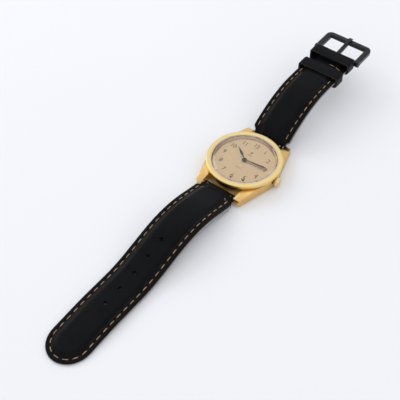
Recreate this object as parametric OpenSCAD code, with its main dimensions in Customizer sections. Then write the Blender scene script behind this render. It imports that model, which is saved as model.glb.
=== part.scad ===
// Wristwatch: a 36 mm round case with a two-hand quartz movement on a padded leather strap.
// Origin: centre of the case back, on the surface the watch lies on.
// +X points to 3 o'clock (the crown), +Y to 12 o'clock (the buckle), +Z out of the dial.

/* [Case] */
// Outer diameter of the bezel
bezel_d = 36; // [35:0.5:38]
// Diameter of the case barrel below the bezel
barrel_d = 34.8; // [34:0.2:35.2]
// Height of the top of the bezel
bezel_top = 7.2; // [7:0.1:7.6]
// Height of the middle of the crystal
crystal_top = 8.2; // [8:0.1:8.6]
// Gap between a pair of lugs, the strap width that fits
lug_gap = 18; // [17:0.5:19]
// Distance of each spring bar from the middle of the case
bar_y = 20.2; // [19.8:0.1:20.6]
// Height of the spring bars
bar_z = 2.8; // [2.6:0.1:3]

/* [Hands] */
// Angle of the hour hand, counter-clockwise from 3 o'clock
hour_angle = 143; // [0:360]
// Angle of the minute hand, counter-clockwise from 3 o'clock
minute_angle = 6; // [0:360]
// Length of the hour hand
hour_len = 9.3; // [8:0.1:10]
// Length of the minute hand
minute_len = 12; // [11:0.1:13]

/* [Strap] */
// Width of the strap
strap_w = 20; // [19.5:0.1:20.4]
// Thickness at the lugs
strap_t = 4.6; // [4.2:0.1:5]
// Thickness at the buckle
buckle_end_t = 3.0; // [2.8:0.1:3.2]
// Thickness at the free tip
tip_t = 2.0; // [1.8:0.1:2.4]
// Lining, as a part of the strap's thickness
lining_part = 0.42; // [0.35:0.01:0.45]
// How far the padded middle stands above the stitched edge
pad_rise = 0.9; // [0.7:0.1:1]
// Number of buckle holes
hole_count = 5; // [3:6]
// Distance between buckle holes
hole_pitch = 9.2; // [8:0.1:9.5]

/* [Buckle] */
// Outer width of the buckle
buckle_w = 25.5; // [25:0.1:26]
// Distance of the buckle bar from the middle of the case
pin_y = 80; // [80:80]
// Distance of the outer edge of the buckle from the middle of the case
buckle_end = 93.6; // [93:0.1:95]

/* [Hidden] */

$fn = 96;
gap = 0.02;                 // clearance between a turning pin and its bore
eps = 0.01;                 // overshoot of a cutting tool
gold = [0.86, 0.72, 0.45];
steel = [0.75, 0.76, 0.78];
brass = [0.8, 0.66, 0.36];
black = [0.07, 0.07, 0.08];

// Case heights
back_t = 0.9;               // thickness of the case back
case_bottom = 0.5;
case_top = 5.4;
groove_h = 0.3;             // dark groove under the bezel
dial_under = 4.8;
dial_t = 0.4;
dial_top = dial_under + dial_t;

// Case radii
bezel_r = bezel_d / 2;
barrel_r = barrel_d / 2;
crystal_seat_r = 15.8;
crystal_r = 15.45;
cavity_r = 14.4;
dial_r = 15.2;
back_r = 15.6;
snap_r = 14.95;
snap_in_r = 14.25;
gasket_r = 15.35;
holder_r = 14.15;
plate_r = 11.1;

// Crown and stem, along X
stem_z = 3.1;
stem_r = 0.45;
tube_r = 1.0;
tube_bore_r = 0.6;
tube_end = 18.95;
crown_r = 2.2;
crown_base = 17.6;
crown_end = 19.6;
crown_bore_r = 1.35;
crown_bore_depth = 1.5;
crown_gasket_x = 17.65;
stem_in = 5.9;              // inner end of the stem
lever_groove_x = 8.85;      // groove that the setting lever holds
clutch_x = 6.4;
clutch_len = 1.5;
clutch_groove_x = 7.35;

// Movement heights
plate_low = 2.5;
plate_top = 4.0;
bridge_low = 1.35;
bridge_t = 0.25;
board_z = 2.25;
board_t = 0.25;

// Wheel train: modules, teeth and places in plan
train_m = 0.1;
motion_m = 0.12;
centre_teeth = 72;
inter_pinion_teeth = 8;
inter_teeth = 60;
rotor_teeth = 6;
cannon_teeth = 10;
minute_teeth = 30;
minute_pinion_teeth = 8;
hour_teeth = 32;
setting_teeth = 16;
inter_angle = 100;
inter_x = train_m * (centre_teeth + inter_pinion_teeth) / 2 * cos(inter_angle);
inter_y = train_m * (centre_teeth + inter_pinion_teeth) / 2 * sin(inter_angle);
rotor_angle = 150;
rotor_x = inter_x + train_m * (inter_teeth + rotor_teeth) / 2 * cos(rotor_angle);
rotor_y = inter_y + train_m * (inter_teeth + rotor_teeth) / 2 * sin(rotor_angle);
minute_x = motion_m * (cannon_teeth + minute_teeth) / 2;
setting_x = minute_x + motion_m * (minute_teeth + setting_teeth) / 2;
lever_pivot = [9.25, 2.4];
yoke_pivot = [7.1, -3];
battery_at = [-5.7, -4.7];
battery_r = 3.4;
board_angle = 300;          // middle of the circuit board's sector
feet_r = 9.8;
feet_angle = 60;
stator_turn = 34;           // direction of the coil
coil_out = 2.6;             // distance of the coil from the rotor
screw_places = [[-8.4, 3.4], [3.6, 6.4], [2.2, -8.6]];

// Strap
loop_r = 1.7;               // leather loop round a spring bar
spring_bar_r = 0.75;
spring_tip_r = 0.4;
neck_w = lug_gap - 1;       // strap width between the lugs
cover_t = 0.8;              // upper leather over the padding
nose = 0.26;                // how much thinner the strap starts at its spring bar
nose_part = 0.1;
curve_steps = 5;
strap_12_points = [[21.2, 1.4], [25, 4], [30, 7.2], [36, 10.2], [42, 12.4], [48, 13.8],
                   [54, 14.2], [60, 14.2]];
strap_6_points = [[20.4, 1.1], [26, 1.7], [30, 2.5], [36, 4.3], [42, 5.6], [48, 6.2],
                  [55, 5.9], [62, 4.7], [69, 3.1], [76, 1.6], [84, 0.7], [94, 0.8], [104, 0.9],
                  [114, 0.4], [122, 0], [130, 0]];
strap_end_12 = 78;
strap_tip = 130;
first_hole = 61.5;
hole_r = 0.9;
tip_curve = 11;

// Buckle
pin_z = strap_12_points[7][1] + buckle_end_t / 2;
pin_r = 0.6;
end_loop_r = 1.5;
arm_w = 2.8;
front_w = 2.4;
frame_t = 2.2;
keeper_w = 6;
keeper_t = 1.0;
keeper_rise = 4.6;          // clear height inside a keeper
fixed_keeper_y = 75;
free_keeper_y = 64.4;
keeper_drop = 1.3;          // how far the free keeper hangs below the strap

// ---- curves --------------------------------------------------------------

// Catmull-Rom point between b and c
function blend_point(a, b, c, d, t) =
    0.5 * (2 * b + (c - a) * t + (2 * a - 5 * b + 4 * c - d) * t * t
           + (3 * b - a - 3 * c + d) * t * t * t);

function smooth_line(p) = concat(
    [for (i = [0:len(p) - 2]) for (k = [0:curve_steps - 1])
        blend_point(p[max(i - 1, 0)], p[i], p[i + 1], p[min(i + 2, len(p) - 1)], k / curve_steps)],
    [p[len(p) - 1]]);

// Unit normal of a line of points, on its upper side
function line_normal(p, i) =
    let (d = p[min(i + 1, len(p) - 1)] - p[max(i - 1, 0)])
    [-d[1], d[0]] / norm(d);

// Total length up to each point, as a part of the whole
function run_length(p, i) = i == 0 ? 0 : norm(p[i] - p[i - 1]) + run_length(p, i - 1);

// Strap thickness at a part s of its length
function strap_height(s, t0, t1, flat_from) =
    let (taper = t0 + (t1 - t0) * min(1, s / flat_from), rise = 1 - min(1, s / nose_part))
    taper * (1 - nose * rise * rise);

// Line at a height over the underside: low + part of the thickness
function raised_line(p, low, part, t0, t1, flat_from) =
    let (total = run_length(p, len(p) - 1))
    [for (i = [0:len(p) - 1])
        p[i] + line_normal(p, i)
        * (low + part * strap_height(run_length(p, i) / total, t0, t1, flat_from))];

function backwards(p) = [for (i = [len(p) - 1:-1:0]) p[i]];

strap_12_line = concat(smooth_line(strap_12_points), [[strap_end_12, strap_12_points[7][1]]]);
strap_6_line = smooth_line(strap_6_points);

// ---- shared shapes -------------------------------------------------------

// Slab across the strap between two lines in the Y-Z plane
module slab(width, low, high) {
    rotate([90, 0, 90])
        linear_extrude(width, center = true) polygon(concat(low, backwards(high)));
}

module along_x(x0, x1, r, z = stem_z, y = 0) {
    translate([x0, y, z]) rotate([0, 90, 0]) cylinder(h = x1 - x0, r = r);
}

module tube(h, r_out, r_in) {
    difference() {
        cylinder(h = h, r = r_out);
        translate([0, 0, -eps]) cylinder(h = h + 2 * eps, r = r_in);
    }
}

module half_turn() {
    for (a = [0, 180]) rotate([0, 0, a]) children();
}

// Spur gear with trapezoid teeth, one tooth pointing to +X after a turn
module gear(teeth, m, h, bore, turn = 0) {
    pitch_r = m * teeth / 2;
    step = 360 / teeth;
    root = pitch_r - 1.15 * m;
    tip = pitch_r + 0.85 * m;
    linear_extrude(h) rotate(turn) difference() {
        polygon([for (i = [0:teeth - 1]) for (k = [[-0.3, root], [-0.11, tip], [0.11, tip], [0.3, root]])
            k[1] * [cos((i + k[0]) * step), sin((i + k[0]) * step)]]);
        circle(r = bore, $fn = 24);
    }
}

// ---- case ----------------------------------------------------------------

lug_tip_y = bar_y + 1.3;
lug_tip_x = 12.1;
lug_root = (barrel_r - 0.05) * [cos(16), sin(16)];

// The two lugs of one side seen from the front, swept tangentially out of the barrel
module lug_plan() {
    half = [[lug_gap / 2, lug_tip_y], [lug_tip_x - 0.6, lug_tip_y],
            [lug_tip_x, lug_tip_y - 0.6], lug_root];
    polygon(concat(half, [for (p = backwards(half)) [p[0], -p[1]]]));
}

// Lugs seen from the side: nearly level on top, bowed down to the tips
module lug_profile() {
    low = 0.45;
    polygon(concat(
        [[0, case_bottom + 0.05], [14, case_bottom + 0.05]],
        [for (a = [-90:15:75]) [lug_tip_y - 1.35 + 1.35 * cos(a),
                                low + 1.4 + (a > 0 ? 2.3 : 1.4) * sin(a)]],
        [[17.6, 4.5], [15, 4.85], [12, 5], [0, 5]]));
}

module mid_case() {
    color(gold) difference() {
        union() {
            translate([0, 0, case_bottom])
                cylinder(h = case_top - groove_h - case_bottom, r = barrel_r);
            translate([0, 0, case_bottom]) cylinder(h = case_top - case_bottom, r = barrel_r - 0.5);
            intersection() {
                linear_extrude(case_top) for (x = [0, 1]) mirror([x, 0, 0]) lug_plan();
                rotate([90, 0, 90]) linear_extrude(40, center = true)
                    union() { lug_profile(); mirror([1, 0]) lug_profile(); }
            }
        }
        cylinder(h = back_t + 0.05, r = back_r + 0.05);
        cylinder(h = back_t + 0.45, r = gasket_r);
        cylinder(h = 1.95, r = snap_r);
        cylinder(h = case_top, r = cavity_r);
        translate([0, 0, dial_under]) cylinder(h = 1, r = dial_r + 0.05);
        along_x(10, 22, tube_r);
        for (s = [-1, 1]) translate([0, s * bar_y, bar_z]) rotate([0, 90, 0])
            cylinder(h = 2 * 10.6, r = spring_tip_r + gap, center = true);
    }
}

// Flat-topped ring with a brushed face, seated on the barrel
module bezel() {
    color(gold) rotate_extrude() polygon(concat(
        [[dial_r + 0.3, case_top], [bezel_r - 0.45, case_top], [bezel_r, case_top + 0.4]],
        [for (a = [0:15:90]) [bezel_r - 0.5 + 0.5 * cos(a), bezel_top - 0.5 + 0.5 * sin(a)]],
        [[crystal_seat_r + 0.15, bezel_top], [crystal_seat_r, bezel_top - 0.15],
         [crystal_seat_r, 6.4], [dial_r + 0.3, 6.4]]));
}

dome_r = (pow(crystal_r, 2) + pow(0.9, 2)) / (2 * 0.9);

module crystal() {
    color([0.85, 0.9, 0.95, 0.3]) difference() {
        translate([0, 0, 6.45]) cylinder(h = crystal_top - 6.45, r = crystal_r);
        rotate_extrude() polygon(concat(
            [[crystal_r + 1, crystal_top + 1], [0, crystal_top + 1]],
            [for (k = [0:12]) let (r = crystal_r * k / 12)
                [r, crystal_top - dome_r + sqrt(dome_r * dome_r - r * r)]],
            [[crystal_r + 1, crystal_top - 0.9]]));
        rotate_extrude() polygon(concat(
            [[0, 6]],
            [[crystal_r - 0.9, 6]],
            [for (k = [12:-1:0]) let (r = (crystal_r - 0.9) * k / 12)
                [r, crystal_top - 0.95 - dome_r + sqrt(dome_r * dome_r - r * r)]]));
    }
}

module crystal_gasket() {
    color("white") translate([0, 0, 6.45]) tube(0.6, crystal_seat_r, crystal_r);
}

// Sloped ring between the dial and the crystal
module rehaut_ring() {
    color(gold) rotate_extrude() polygon([[13.9, dial_top], [dial_r, dial_top], [dial_r, case_top],
        [dial_r + 0.2, case_top], [dial_r + 0.2, 6.35], [15.0, 6.35]]);
}

module case_back() {
    color(gold) {
        cylinder(h = back_t, r = back_r);
        translate([0, 0, back_t]) tube(1.0, snap_r - 0.02, snap_in_r);
    }
}

module back_gasket() {
    color("dimgray") translate([0, 0, back_t + 0.05]) tube(0.4, gasket_r, snap_r);
}

module crown_tube() {
    color(steel) difference() {
        along_x(14.9, tube_end, tube_r);
        along_x(14, 20, tube_bore_r);
    }
}

// ---- crown and keyless work ---------------------------------------------

module crown_gasket() {
    color("dimgray") difference() {
        along_x(crown_gasket_x, crown_gasket_x + 0.4, crown_bore_r - 0.02);
        along_x(17, 19, tube_r + gap);
    }
}

module crown() {
    flutes = 32;
    color(gold) difference() {
        union() {
            translate([crown_base + 0.3, 0, stem_z]) rotate([0, 90, 0])
                linear_extrude(crown_end - crown_base - 0.55) polygon(
                    [for (i = [0:flutes - 1]) for (k = [[-0.25, -0.16], [0, 0], [0.25, -0.16]])
                        (crown_r + k[1])
                            * [cos((i + k[0]) * 360 / flutes), sin((i + k[0]) * 360 / flutes)]]);
            along_x(crown_base, crown_end - 0.2, crown_r - 0.25);
            along_x(crown_end - 0.25, crown_end, crown_r - 0.5);
        }
        along_x(crown_base - eps, crown_base + crown_bore_depth, crown_bore_r);
    }
}

module stem() {
    color(steel) difference() {
        along_x(stem_in, crown_base + crown_bore_depth, stem_r);
        difference() {
            along_x(lever_groove_x - 0.3, lever_groove_x + 0.3, 1);
            along_x(lever_groove_x - 1, lever_groove_x + 1, 0.2);
        }
    }
}

module clutch_pinion() {
    color(steel) difference() {
        union() {
            translate([clutch_x, 0, stem_z]) rotate([0, 90, 0]) gear(14, 0.11, 0.6, stem_r + gap);
            along_x(clutch_x + 0.6, clutch_x + clutch_len, 0.75);
        }
        along_x(clutch_x - 1, clutch_x + 3, stem_r + gap);
        difference() {
            along_x(clutch_groove_x - 0.2, clutch_groove_x + 0.2, 1);
            along_x(clutch_groove_x - 1, clutch_groove_x + 1, 0.6);
        }
    }
}

// Flat lever whose pin sits in the groove of the stem
module setting_lever() {
    pin = [lever_groove_x, 0];
    color(steel) {
        translate([0, 0, plate_top + 0.05]) linear_extrude(0.2) difference() {
            union() {
                translate(lever_pivot) circle(r = 0.8);
                translate(pin) circle(r = 0.3);
                polygon([pin + [-0.3, 0], pin + [0.3, 0],
                         lever_pivot + [0.6, 0.1], lever_pivot - [0.6, -0.1]]);
            }
            translate(lever_pivot) circle(r = 0.3 + gap);
        }
        translate([pin[0], pin[1], stem_z + 0.26]) cylinder(h = plate_top + 0.1 - stem_z - 0.26, r = 0.18);
    }
}

// Flat lever whose pin sits in the groove of the clutch pinion
module yoke() {
    pin = [clutch_groove_x, 0];
    color(steel) {
        translate([0, 0, plate_top + 0.05]) linear_extrude(0.2) difference() {
            union() {
                translate(yoke_pivot) circle(r = 0.8);
                translate(pin) circle(r = 0.3);
                polygon([pin + [0.3, 0], pin - [0.3, 0], yoke_pivot - [0.6, 0], yoke_pivot + [0.6, 0]]);
            }
            translate(yoke_pivot) circle(r = 0.3 + gap);
        }
        translate([pin[0], pin[1], stem_z + 0.66]) cylinder(h = plate_top + 0.1 - stem_z - 0.66, r = 0.15);
    }
}

// ---- movement ------------------------------------------------------------

module movement_holder() {
    color("ivory") difference() {
        translate([0, 0, 1.3]) tube(dial_under - 1.3, holder_r, plate_r + 0.05);
        along_x(10, 16, 0.7);
        along_x(14.0, 16, tube_r + 0.05);
    }
}

module stator_plan(grow = 0) {
    translate([rotor_x, rotor_y]) rotate(stator_turn) {
        square([8.2 + 2 * grow, 2.6 + 2 * grow], center = true);
        for (s = [-1, 1]) translate([s * 3.4 - 0.7 - grow, 0])
            square([1.4 + 2 * grow, coil_out + 0.6 + grow]);
    }
}

// Places children at the coil, X along its core
module at_coil() {
    translate([rotor_x, rotor_y, 0]) rotate(stator_turn) translate([0, coil_out, 2.6])
        rotate([0, 90, 0]) children();
}

module main_plate() {
    color(brass) difference() {
        translate([0, 0, plate_low]) cylinder(h = plate_top - plate_low, r = plate_r);
        translate([0, 0, plate_low - eps]) linear_extrude(0.75 + eps) stator_plan(0.1);
        at_coil() cylinder(h = 6.2, r = 1.15, center = true);
        translate([battery_at[0], battery_at[1], 0]) cylinder(h = 10, r = battery_r + 0.1);
        translate([rotor_x, rotor_y, 0]) cylinder(h = plate_low + 1, r = 0.95);
        translate([rotor_x, rotor_y, 0]) cylinder(h = plate_low + 1.3, r = 0.12 + gap);
        translate([inter_x, inter_y, 0]) cylinder(h = plate_low + 0.4, r = 0.15 + gap);
        cylinder(h = 10, r = 0.2 + gap);
        along_x(stem_in - 0.7, 12, stem_r + 0.1);
        along_x(clutch_x - 0.9, clutch_x + clutch_len + 0.2, 1.05);
        translate([clutch_x - 0.9, -1.05, stem_z]) cube([clutch_len + 1.1, 2.1, 2]);
        translate([lever_groove_x - 0.3, -0.4, stem_z]) cube([1.7, 0.8, 2]);
        half_turn() rotate(feet_angle) translate([feet_r, 0, 0]) cylinder(h = 10, r = 0.35);
        for (p = screw_places) translate([p[0], p[1], 0]) cylinder(h = 3.4, r = 0.35);
    }
    // Posts that the wheels and levers of the dial side turn on
    color(brass) {
        for (p = [[minute_x, 0], [setting_x, 0]]) translate([p[0], p[1], plate_top - 0.2])
            cylinder(h = 0.7, r = 0.2);
        for (p = [lever_pivot, yoke_pivot]) translate([p[0], p[1], plate_top - 0.2])
            cylinder(h = 0.6, r = 0.3);
    }
}

// Bridge over the wheel train, on the case back side
module train_bridge() {
    color(brass) translate([0, 0, bridge_low]) linear_extrude(bridge_t) difference() {
        union() {
            circle(r = 2);
            translate([inter_x, inter_y]) circle(r = 2.4);
            translate([rotor_x, rotor_y]) circle(r = 1.6);
            polygon([[-2, 0], [2, 0], screw_places[1] + [1, -0.8], screw_places[1] + [-0.6, 1],
                     [rotor_x, rotor_y + 1.6], screw_places[0] + [0.4, 1.2], screw_places[0] + [-0.9, -0.8]]);
            for (i = [0, 1]) translate(screw_places[i]) circle(r = 1.2);
        }
        circle(r = 0.2 + gap);
        translate([inter_x, inter_y]) circle(r = 0.15 + gap);
        translate([rotor_x, rotor_y]) circle(r = 0.12 + gap);
        for (i = [0, 1]) translate(screw_places[i]) circle(r = 0.36);
    }
    // Feet that space the bridge off the plate
    color(brass) for (i = [0, 1]) translate([screw_places[i][0], screw_places[i][1], bridge_low + bridge_t])
        tube(plate_low - bridge_low - bridge_t, 0.8, 0.36);
}

module movement_screws() {
    color(steel) for (i = [0:2]) translate([screw_places[i][0], screw_places[i][1], 0]) difference() {
        union() {
            translate([0, 0, i < 2 ? 1.05 : 0.92]) cylinder(h = i < 2 ? 0.3 : 0.23, r = 0.7);
            translate([0, 0, 1.1]) cylinder(h = 2.2, r = 0.35);
        }
        translate([-1, -0.1, 0]) cube([2, 0.2, i < 2 ? 1.2 : 1.04]);
    }
}

module dial() {
    color([0.83, 0.71, 0.55]) {
        translate([0, 0, dial_under]) tube(dial_t, dial_r, 0.95);
        half_turn() rotate(feet_angle) translate([feet_r, 0, plate_low + 0.6])
            cylinder(h = dial_under - plate_low - 0.5, r = 0.34);
    }
}

module dial_washer() {
    color(brass) translate([0, 0, 4.68]) tube(0.1, 1.7, 0.85);
}

module battery_cell() {
    color(steel) translate([battery_at[0], battery_at[1], 1.35]) {
        cylinder(h = 0.4, r = battery_r - 0.5);
        translate([0, 0, 0.4]) cylinder(h = 2.1, r = battery_r);
    }
}

// Strip that holds the cell and carries its contact to the board
module battery_clamp() {
    color(steel) {
        translate([0, 0, 1.15]) linear_extrude(0.2) difference() {
            polygon([battery_at + [-2.6, 0.8], battery_at + [-2.2, -1.2], screw_places[2] + [-0.2, -0.9],
                     screw_places[2] + [1, 0.2], screw_places[2] + [-0.6, 0.9], battery_at + [1, 1.2]]);
            translate(screw_places[2]) circle(r = 0.36);
        }
    }
}

module circuit_board() {
    color("darkgreen") translate([0, 0, board_z]) linear_extrude(board_t) difference() {
        polygon(concat(
            [for (a = [board_angle - 38:6:board_angle + 46]) 10.8 * [cos(a), sin(a)]],
            [for (a = [board_angle + 46:-6:board_angle - 38]) 4.6 * [cos(a), sin(a)]]));
        translate(screw_places[2]) circle(r = 0.5);
    }
    // Sealed driver chip
    color(black) rotate(board_angle + 10) translate([7.6, 0, board_z - 0.3])
        cube([1.8, 1.8, 0.6], center = true);
}

module oscillator_can() {
    color(steel) rotate(board_angle + 34) translate([5.2, 0, 1.7]) rotate([0, 90, 0])
        cylinder(h = 4.6, r = 0.5);
}

module coil() {
    color([0.72, 0.36, 0.2]) at_coil() difference() {
        cylinder(h = 5.0, r = 1.0, center = true);
        cube([0.42, 1.22, 6], center = true);
    }
}

module stator() {
    color(steel) difference() {
        union() {
            translate([0, 0, 2.75]) linear_extrude(0.3) difference() {
                stator_plan();
                translate([rotor_x, rotor_y]) circle(r = 0.85);
            }
            at_coil() cube([0.4, 1.2, 6.8], center = true);
        }
    }
}

module rotor() {
    color([0.35, 0.35, 0.38]) translate([rotor_x, rotor_y, 0]) {
        translate([0, 0, 1.4]) cylinder(h = 2.35, r = 0.12, $fn = 24);
        translate([0, 0, 2.1]) gear(rotor_teeth, train_m, 0.3, 0.05, 180 / rotor_teeth + rotor_angle);
        translate([0, 0, 2.6]) cylinder(h = 0.6, r = 0.75);
    }
}

module intermediate_wheel() {
    color(brass) translate([inter_x, inter_y, 0]) {
        translate([0, 0, 1.4]) cylinder(h = 1.45, r = 0.15, $fn = 24);
        translate([0, 0, 1.65])
            gear(inter_pinion_teeth, train_m, 0.5, 0.1, inter_angle + 180 / inter_pinion_teeth);
        translate([0, 0, 2.15]) gear(inter_teeth, train_m, 0.2, 0.1, rotor_angle);
    }
}

module centre_wheel() {
    color(brass) {
        translate([0, 0, 1.4]) cylinder(h = 4.85, r = 0.2);
        translate([0, 0, 1.8]) gear(centre_teeth, train_m, 0.2, 0.15, inter_angle);
    }
}

module cannon_pinion() {
    color(brass) translate([0, 0, 4.05]) difference() {
        union() {
            gear(cannon_teeth, motion_m, 0.25, 0.1, 180 / cannon_teeth);
            cylinder(h = 2.15, r = 0.42);
        }
        translate([0, 0, -eps]) cylinder(h = 3, r = 0.2);
    }
}

module minute_wheel() {
    color(brass) translate([minute_x, 0, 0]) {
        translate([0, 0, 4.08]) gear(minute_teeth, motion_m, 0.18, 0.2 + gap, 180);
        translate([0, 0, 4.26])
            gear(minute_pinion_teeth, motion_m, 0.38, 0.2 + gap, 180 + 180 / minute_pinion_teeth);
    }
}

module setting_wheel() {
    color(brass) translate([setting_x, 0, 4.08])
        gear(setting_teeth, motion_m, 0.18, 0.2 + gap, 180 + 180 / setting_teeth);
}

module hour_wheel() {
    color(brass) {
        translate([0, 0, 4.4]) gear(hour_teeth, motion_m, 0.2, 0.46, 0);
        translate([0, 0, 4.4]) tube(1.5, 0.75, 0.46);
    }
}

// ---- hands ---------------------------------------------------------------

// Leaf-shaped hand with a round boss
module leaf_hand(length, width, boss, bore, h) {
    linear_extrude(h) difference() {
        union() {
            circle(r = boss);
            polygon([[0, -width * 0.35], [length * 0.3, -width / 2], [length * 0.55, -width * 0.45],
                     [length, -0.06], [length, 0.06], [length * 0.55, width * 0.45],
                     [length * 0.3, width / 2], [0, width * 0.35]]);
        }
        circle(r = bore);
    }
}

module hour_hand() {
    color(black) translate([0, 0, 5.7]) rotate(hour_angle) leaf_hand(hour_len, 1.3, 1.25, 0.75, 0.18);
}

module minute_hand() {
    color(black) translate([0, 0, 6.0]) rotate(minute_angle) leaf_hand(minute_len, 1.0, 1.0, 0.42, 0.18);
}

module hand_cap() {
    color(black) translate([0, 0, 6.25]) cylinder(h = 0.25, r = 0.7);
}

// ---- spring bars ---------------------------------------------------------

module spring_bar(side) {
    color(steel) translate([0, side * bar_y, 0]) {
        along_x(-8.6, 8.6, spring_bar_r, bar_z);
        along_x(-10.4, 10.4, spring_tip_r, bar_z);
        for (s = [-1, 1]) along_x(s * 8.7 - 0.1, s * 8.7 + 0.1, spring_bar_r + 0.15, bar_z);
    }
}

module spring_bar_12() { spring_bar(1); }

module spring_bar_6() { spring_bar(-1); }

// ---- straps --------------------------------------------------------------

// Strap outline from above, from its start near the spring bar to its end
module strap_plan(start, end, inset, round_tip) {
    half = strap_w / 2 - inset;
    neck = neck_w / 2 - inset;
    shoulder = [for (k = [0:6]) [neck + (half - neck) * (1 - cos(k * 30)) / 2, bar_y + 2.5 + k * 0.3]];
    tip = round_tip
        ? [for (a = [0:7.5:90]) [half * cos(a), end - inset - tip_curve + tip_curve * sin(a)]]
        : [[half, end - 1.6], [min(half, 9.3), end - 0.4], [min(half, 9.3), end]];
    right = concat([[neck, start]], shoulder, tip);
    polygon(concat(right, [for (p = backwards(right)) [-p[0], p[1]]]));
}

// Layer of the strap between two heights over its underside. A height is a
// number of millimetres plus a part of the strap's local thickness.
module strap_layer(strap, low, high, inset, start = bar_y - 2) {
    intersection() {
        slab(2 * strap_w, raised_line(strap[0], low[0], low[1], strap_t, strap[2], strap[3]),
             raised_line(strap[0], high[0], high[1], strap_t, strap[2], strap[3]));
        linear_extrude(40) strap_plan(start, strap[1], inset, strap[4]);
    }
}

// Each strap: centre line, end, end thickness, where its taper ends, rounded tip
strap_12 = [strap_12_line, strap_end_12, buckle_end_t, 0.55, false];
strap_6 = [strap_6_line, strap_tip, tip_t, 1, true];

module cross_pin(y, z, r, length) {
    translate([0, y, z]) rotate([0, 90, 0]) cylinder(h = length, r = r, center = true);
}

module filler(strap) {
    strap_layer(strap, [0, lining_part], [-cover_t, 1], 3, bar_y + 2.6);
}

// Upper leather, folded round the spring bar, lower along its stitched edge
module upper(strap) {
    difference() {
        union() {
            strap_layer(strap, [0, lining_part], [-pad_rise, 1], 0);
            strap_layer(strap, [0, lining_part], [0, 1], 2.4);
            cross_pin(bar_y, bar_z, loop_r, neck_w);
        }
        filler(strap);
        cross_pin(bar_y, bar_z, spring_bar_r + 0.05, 60);
    }
}

module lining(strap) {
    strap_layer(strap, [0, 0], [0, lining_part], 0, bar_y + 1.9);
}

module strap_12_upper() {
    color(black) difference() {
        union() {
            upper(strap_12);
            // Skived end of the leather, folded round the buckle bar
            translate([-9.3, strap_end_12, pin_z - end_loop_r])
                cube([18.6, pin_y - strap_end_12, 2 * end_loop_r]);
            cross_pin(pin_y, pin_z, end_loop_r, 18.6);
        }
        cross_pin(pin_y, pin_z, pin_r, 60);
        // Slot for the tongue
        translate([-1.2, pin_y - 1.6, 10]) cube([2.4, 5, 10]);
    }
}

module strap_12_padding() {
    color("dimgray") filler(strap_12);
}

module strap_12_lining() {
    color([0.45, 0.43, 0.43]) lining(strap_12);
}

module hole_row() {
    for (i = [0:hole_count - 1]) translate([0, first_hole + i * hole_pitch, -1])
        cylinder(h = 15, r = hole_r);
}

module strap_6_upper() {
    color(black) mirror([0, 1, 0]) difference() {
        upper(strap_6);
        hole_row();
    }
}

module strap_6_padding() {
    color("dimgray") mirror([0, 1, 0]) difference() {
        filler(strap_6);
        hole_row();
    }
}

module strap_6_lining() {
    color([0.45, 0.43, 0.43]) mirror([0, 1, 0]) difference() {
        lining(strap_6);
        hole_row();
    }
}

// ---- keepers and buckle --------------------------------------------------

module rounded_rectangle(w, h, r) {
    square([w - 2 * r, h], center = true);
    square([w, h - 2 * r], center = true);
    for (x = [-1, 1], y = [-1, 1]) translate([x * (w / 2 - r), y * (h / 2 - r)]) circle(r = r);
}

// Leather band round the strap, seen along it
module keeper(y, floor_z) {
    translate([0, y + keeper_w / 2, floor_z + keeper_rise / 2]) rotate([90, 0, 0])
        linear_extrude(keeper_w) difference() {
            rounded_rectangle(strap_w + 0.6 + 2 * keeper_t, keeper_rise + 2 * keeper_t, 2.2);
            rounded_rectangle(strap_w + 0.6, keeper_rise, 0.3);
        }
}

module fixed_keeper() {
    color(black) keeper(fixed_keeper_y, strap_12_points[7][1]);
}

module free_keeper() {
    color(black) keeper(free_keeper_y, strap_12_points[7][1] - keeper_drop);
}

module buckle_bar() {
    color(steel) cross_pin(pin_y, pin_z, pin_r, buckle_w - 0.6);
}

arm_x = buckle_w / 2 - arm_w / 2;

module buckle_frame() {
    frame_l = buckle_end - pin_y;
    color(black) difference() {
        union() {
            translate([0, 0, pin_z - frame_t / 2]) linear_extrude(frame_t) difference() {
                union() {
                    translate([-buckle_w / 2, pin_y]) square([buckle_w, frame_l - 3]);
                    translate([-buckle_w / 2 + 3, buckle_end - 4]) square([buckle_w - 6, 4]);
                    for (s = [-1, 1]) translate([s * (buckle_w / 2 - 3), buckle_end - 3]) circle(r = 3);
                }
                translate([-buckle_w / 2 + arm_w, pin_y - 5])
                    square([buckle_w - 2 * arm_w, frame_l + 5 - front_w]);
            }
            for (s = [-1, 1]) translate([s * arm_x, 0, 0]) cross_pin(pin_y, pin_z, 1.6, arm_w);
        }
        cross_pin(pin_y, pin_z, pin_r + gap, 60);
    }
}

// Flat tongue that turns on the buckle bar and rests on the front of the frame
module buckle_tongue() {
    top = pin_z + frame_t / 2 + 0.03;
    color(black) rotate([90, 0, 90]) linear_extrude(1.9, center = true) difference() {
        union() {
            translate([pin_y, pin_z]) circle(r = 1.2);
            polygon([[pin_y, pin_z - 0.5], [buckle_end - 4.4, top - 0.9], [buckle_end - 2.6, top],
                     [buckle_end + 0.2, top], [buckle_end + 0.6, top + 0.35], [buckle_end + 0.2, top + 0.75],
                     [buckle_end - 0.8, top + 0.95], [buckle_end - 3, top + 0.95],
                     [buckle_end - 6, top + 0.3], [pin_y, pin_z + 0.9]]);
        }
        translate([pin_y, pin_z]) circle(r = pin_r + gap);
    }
}

// ---- the watch -----------------------------------------------------------

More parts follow.
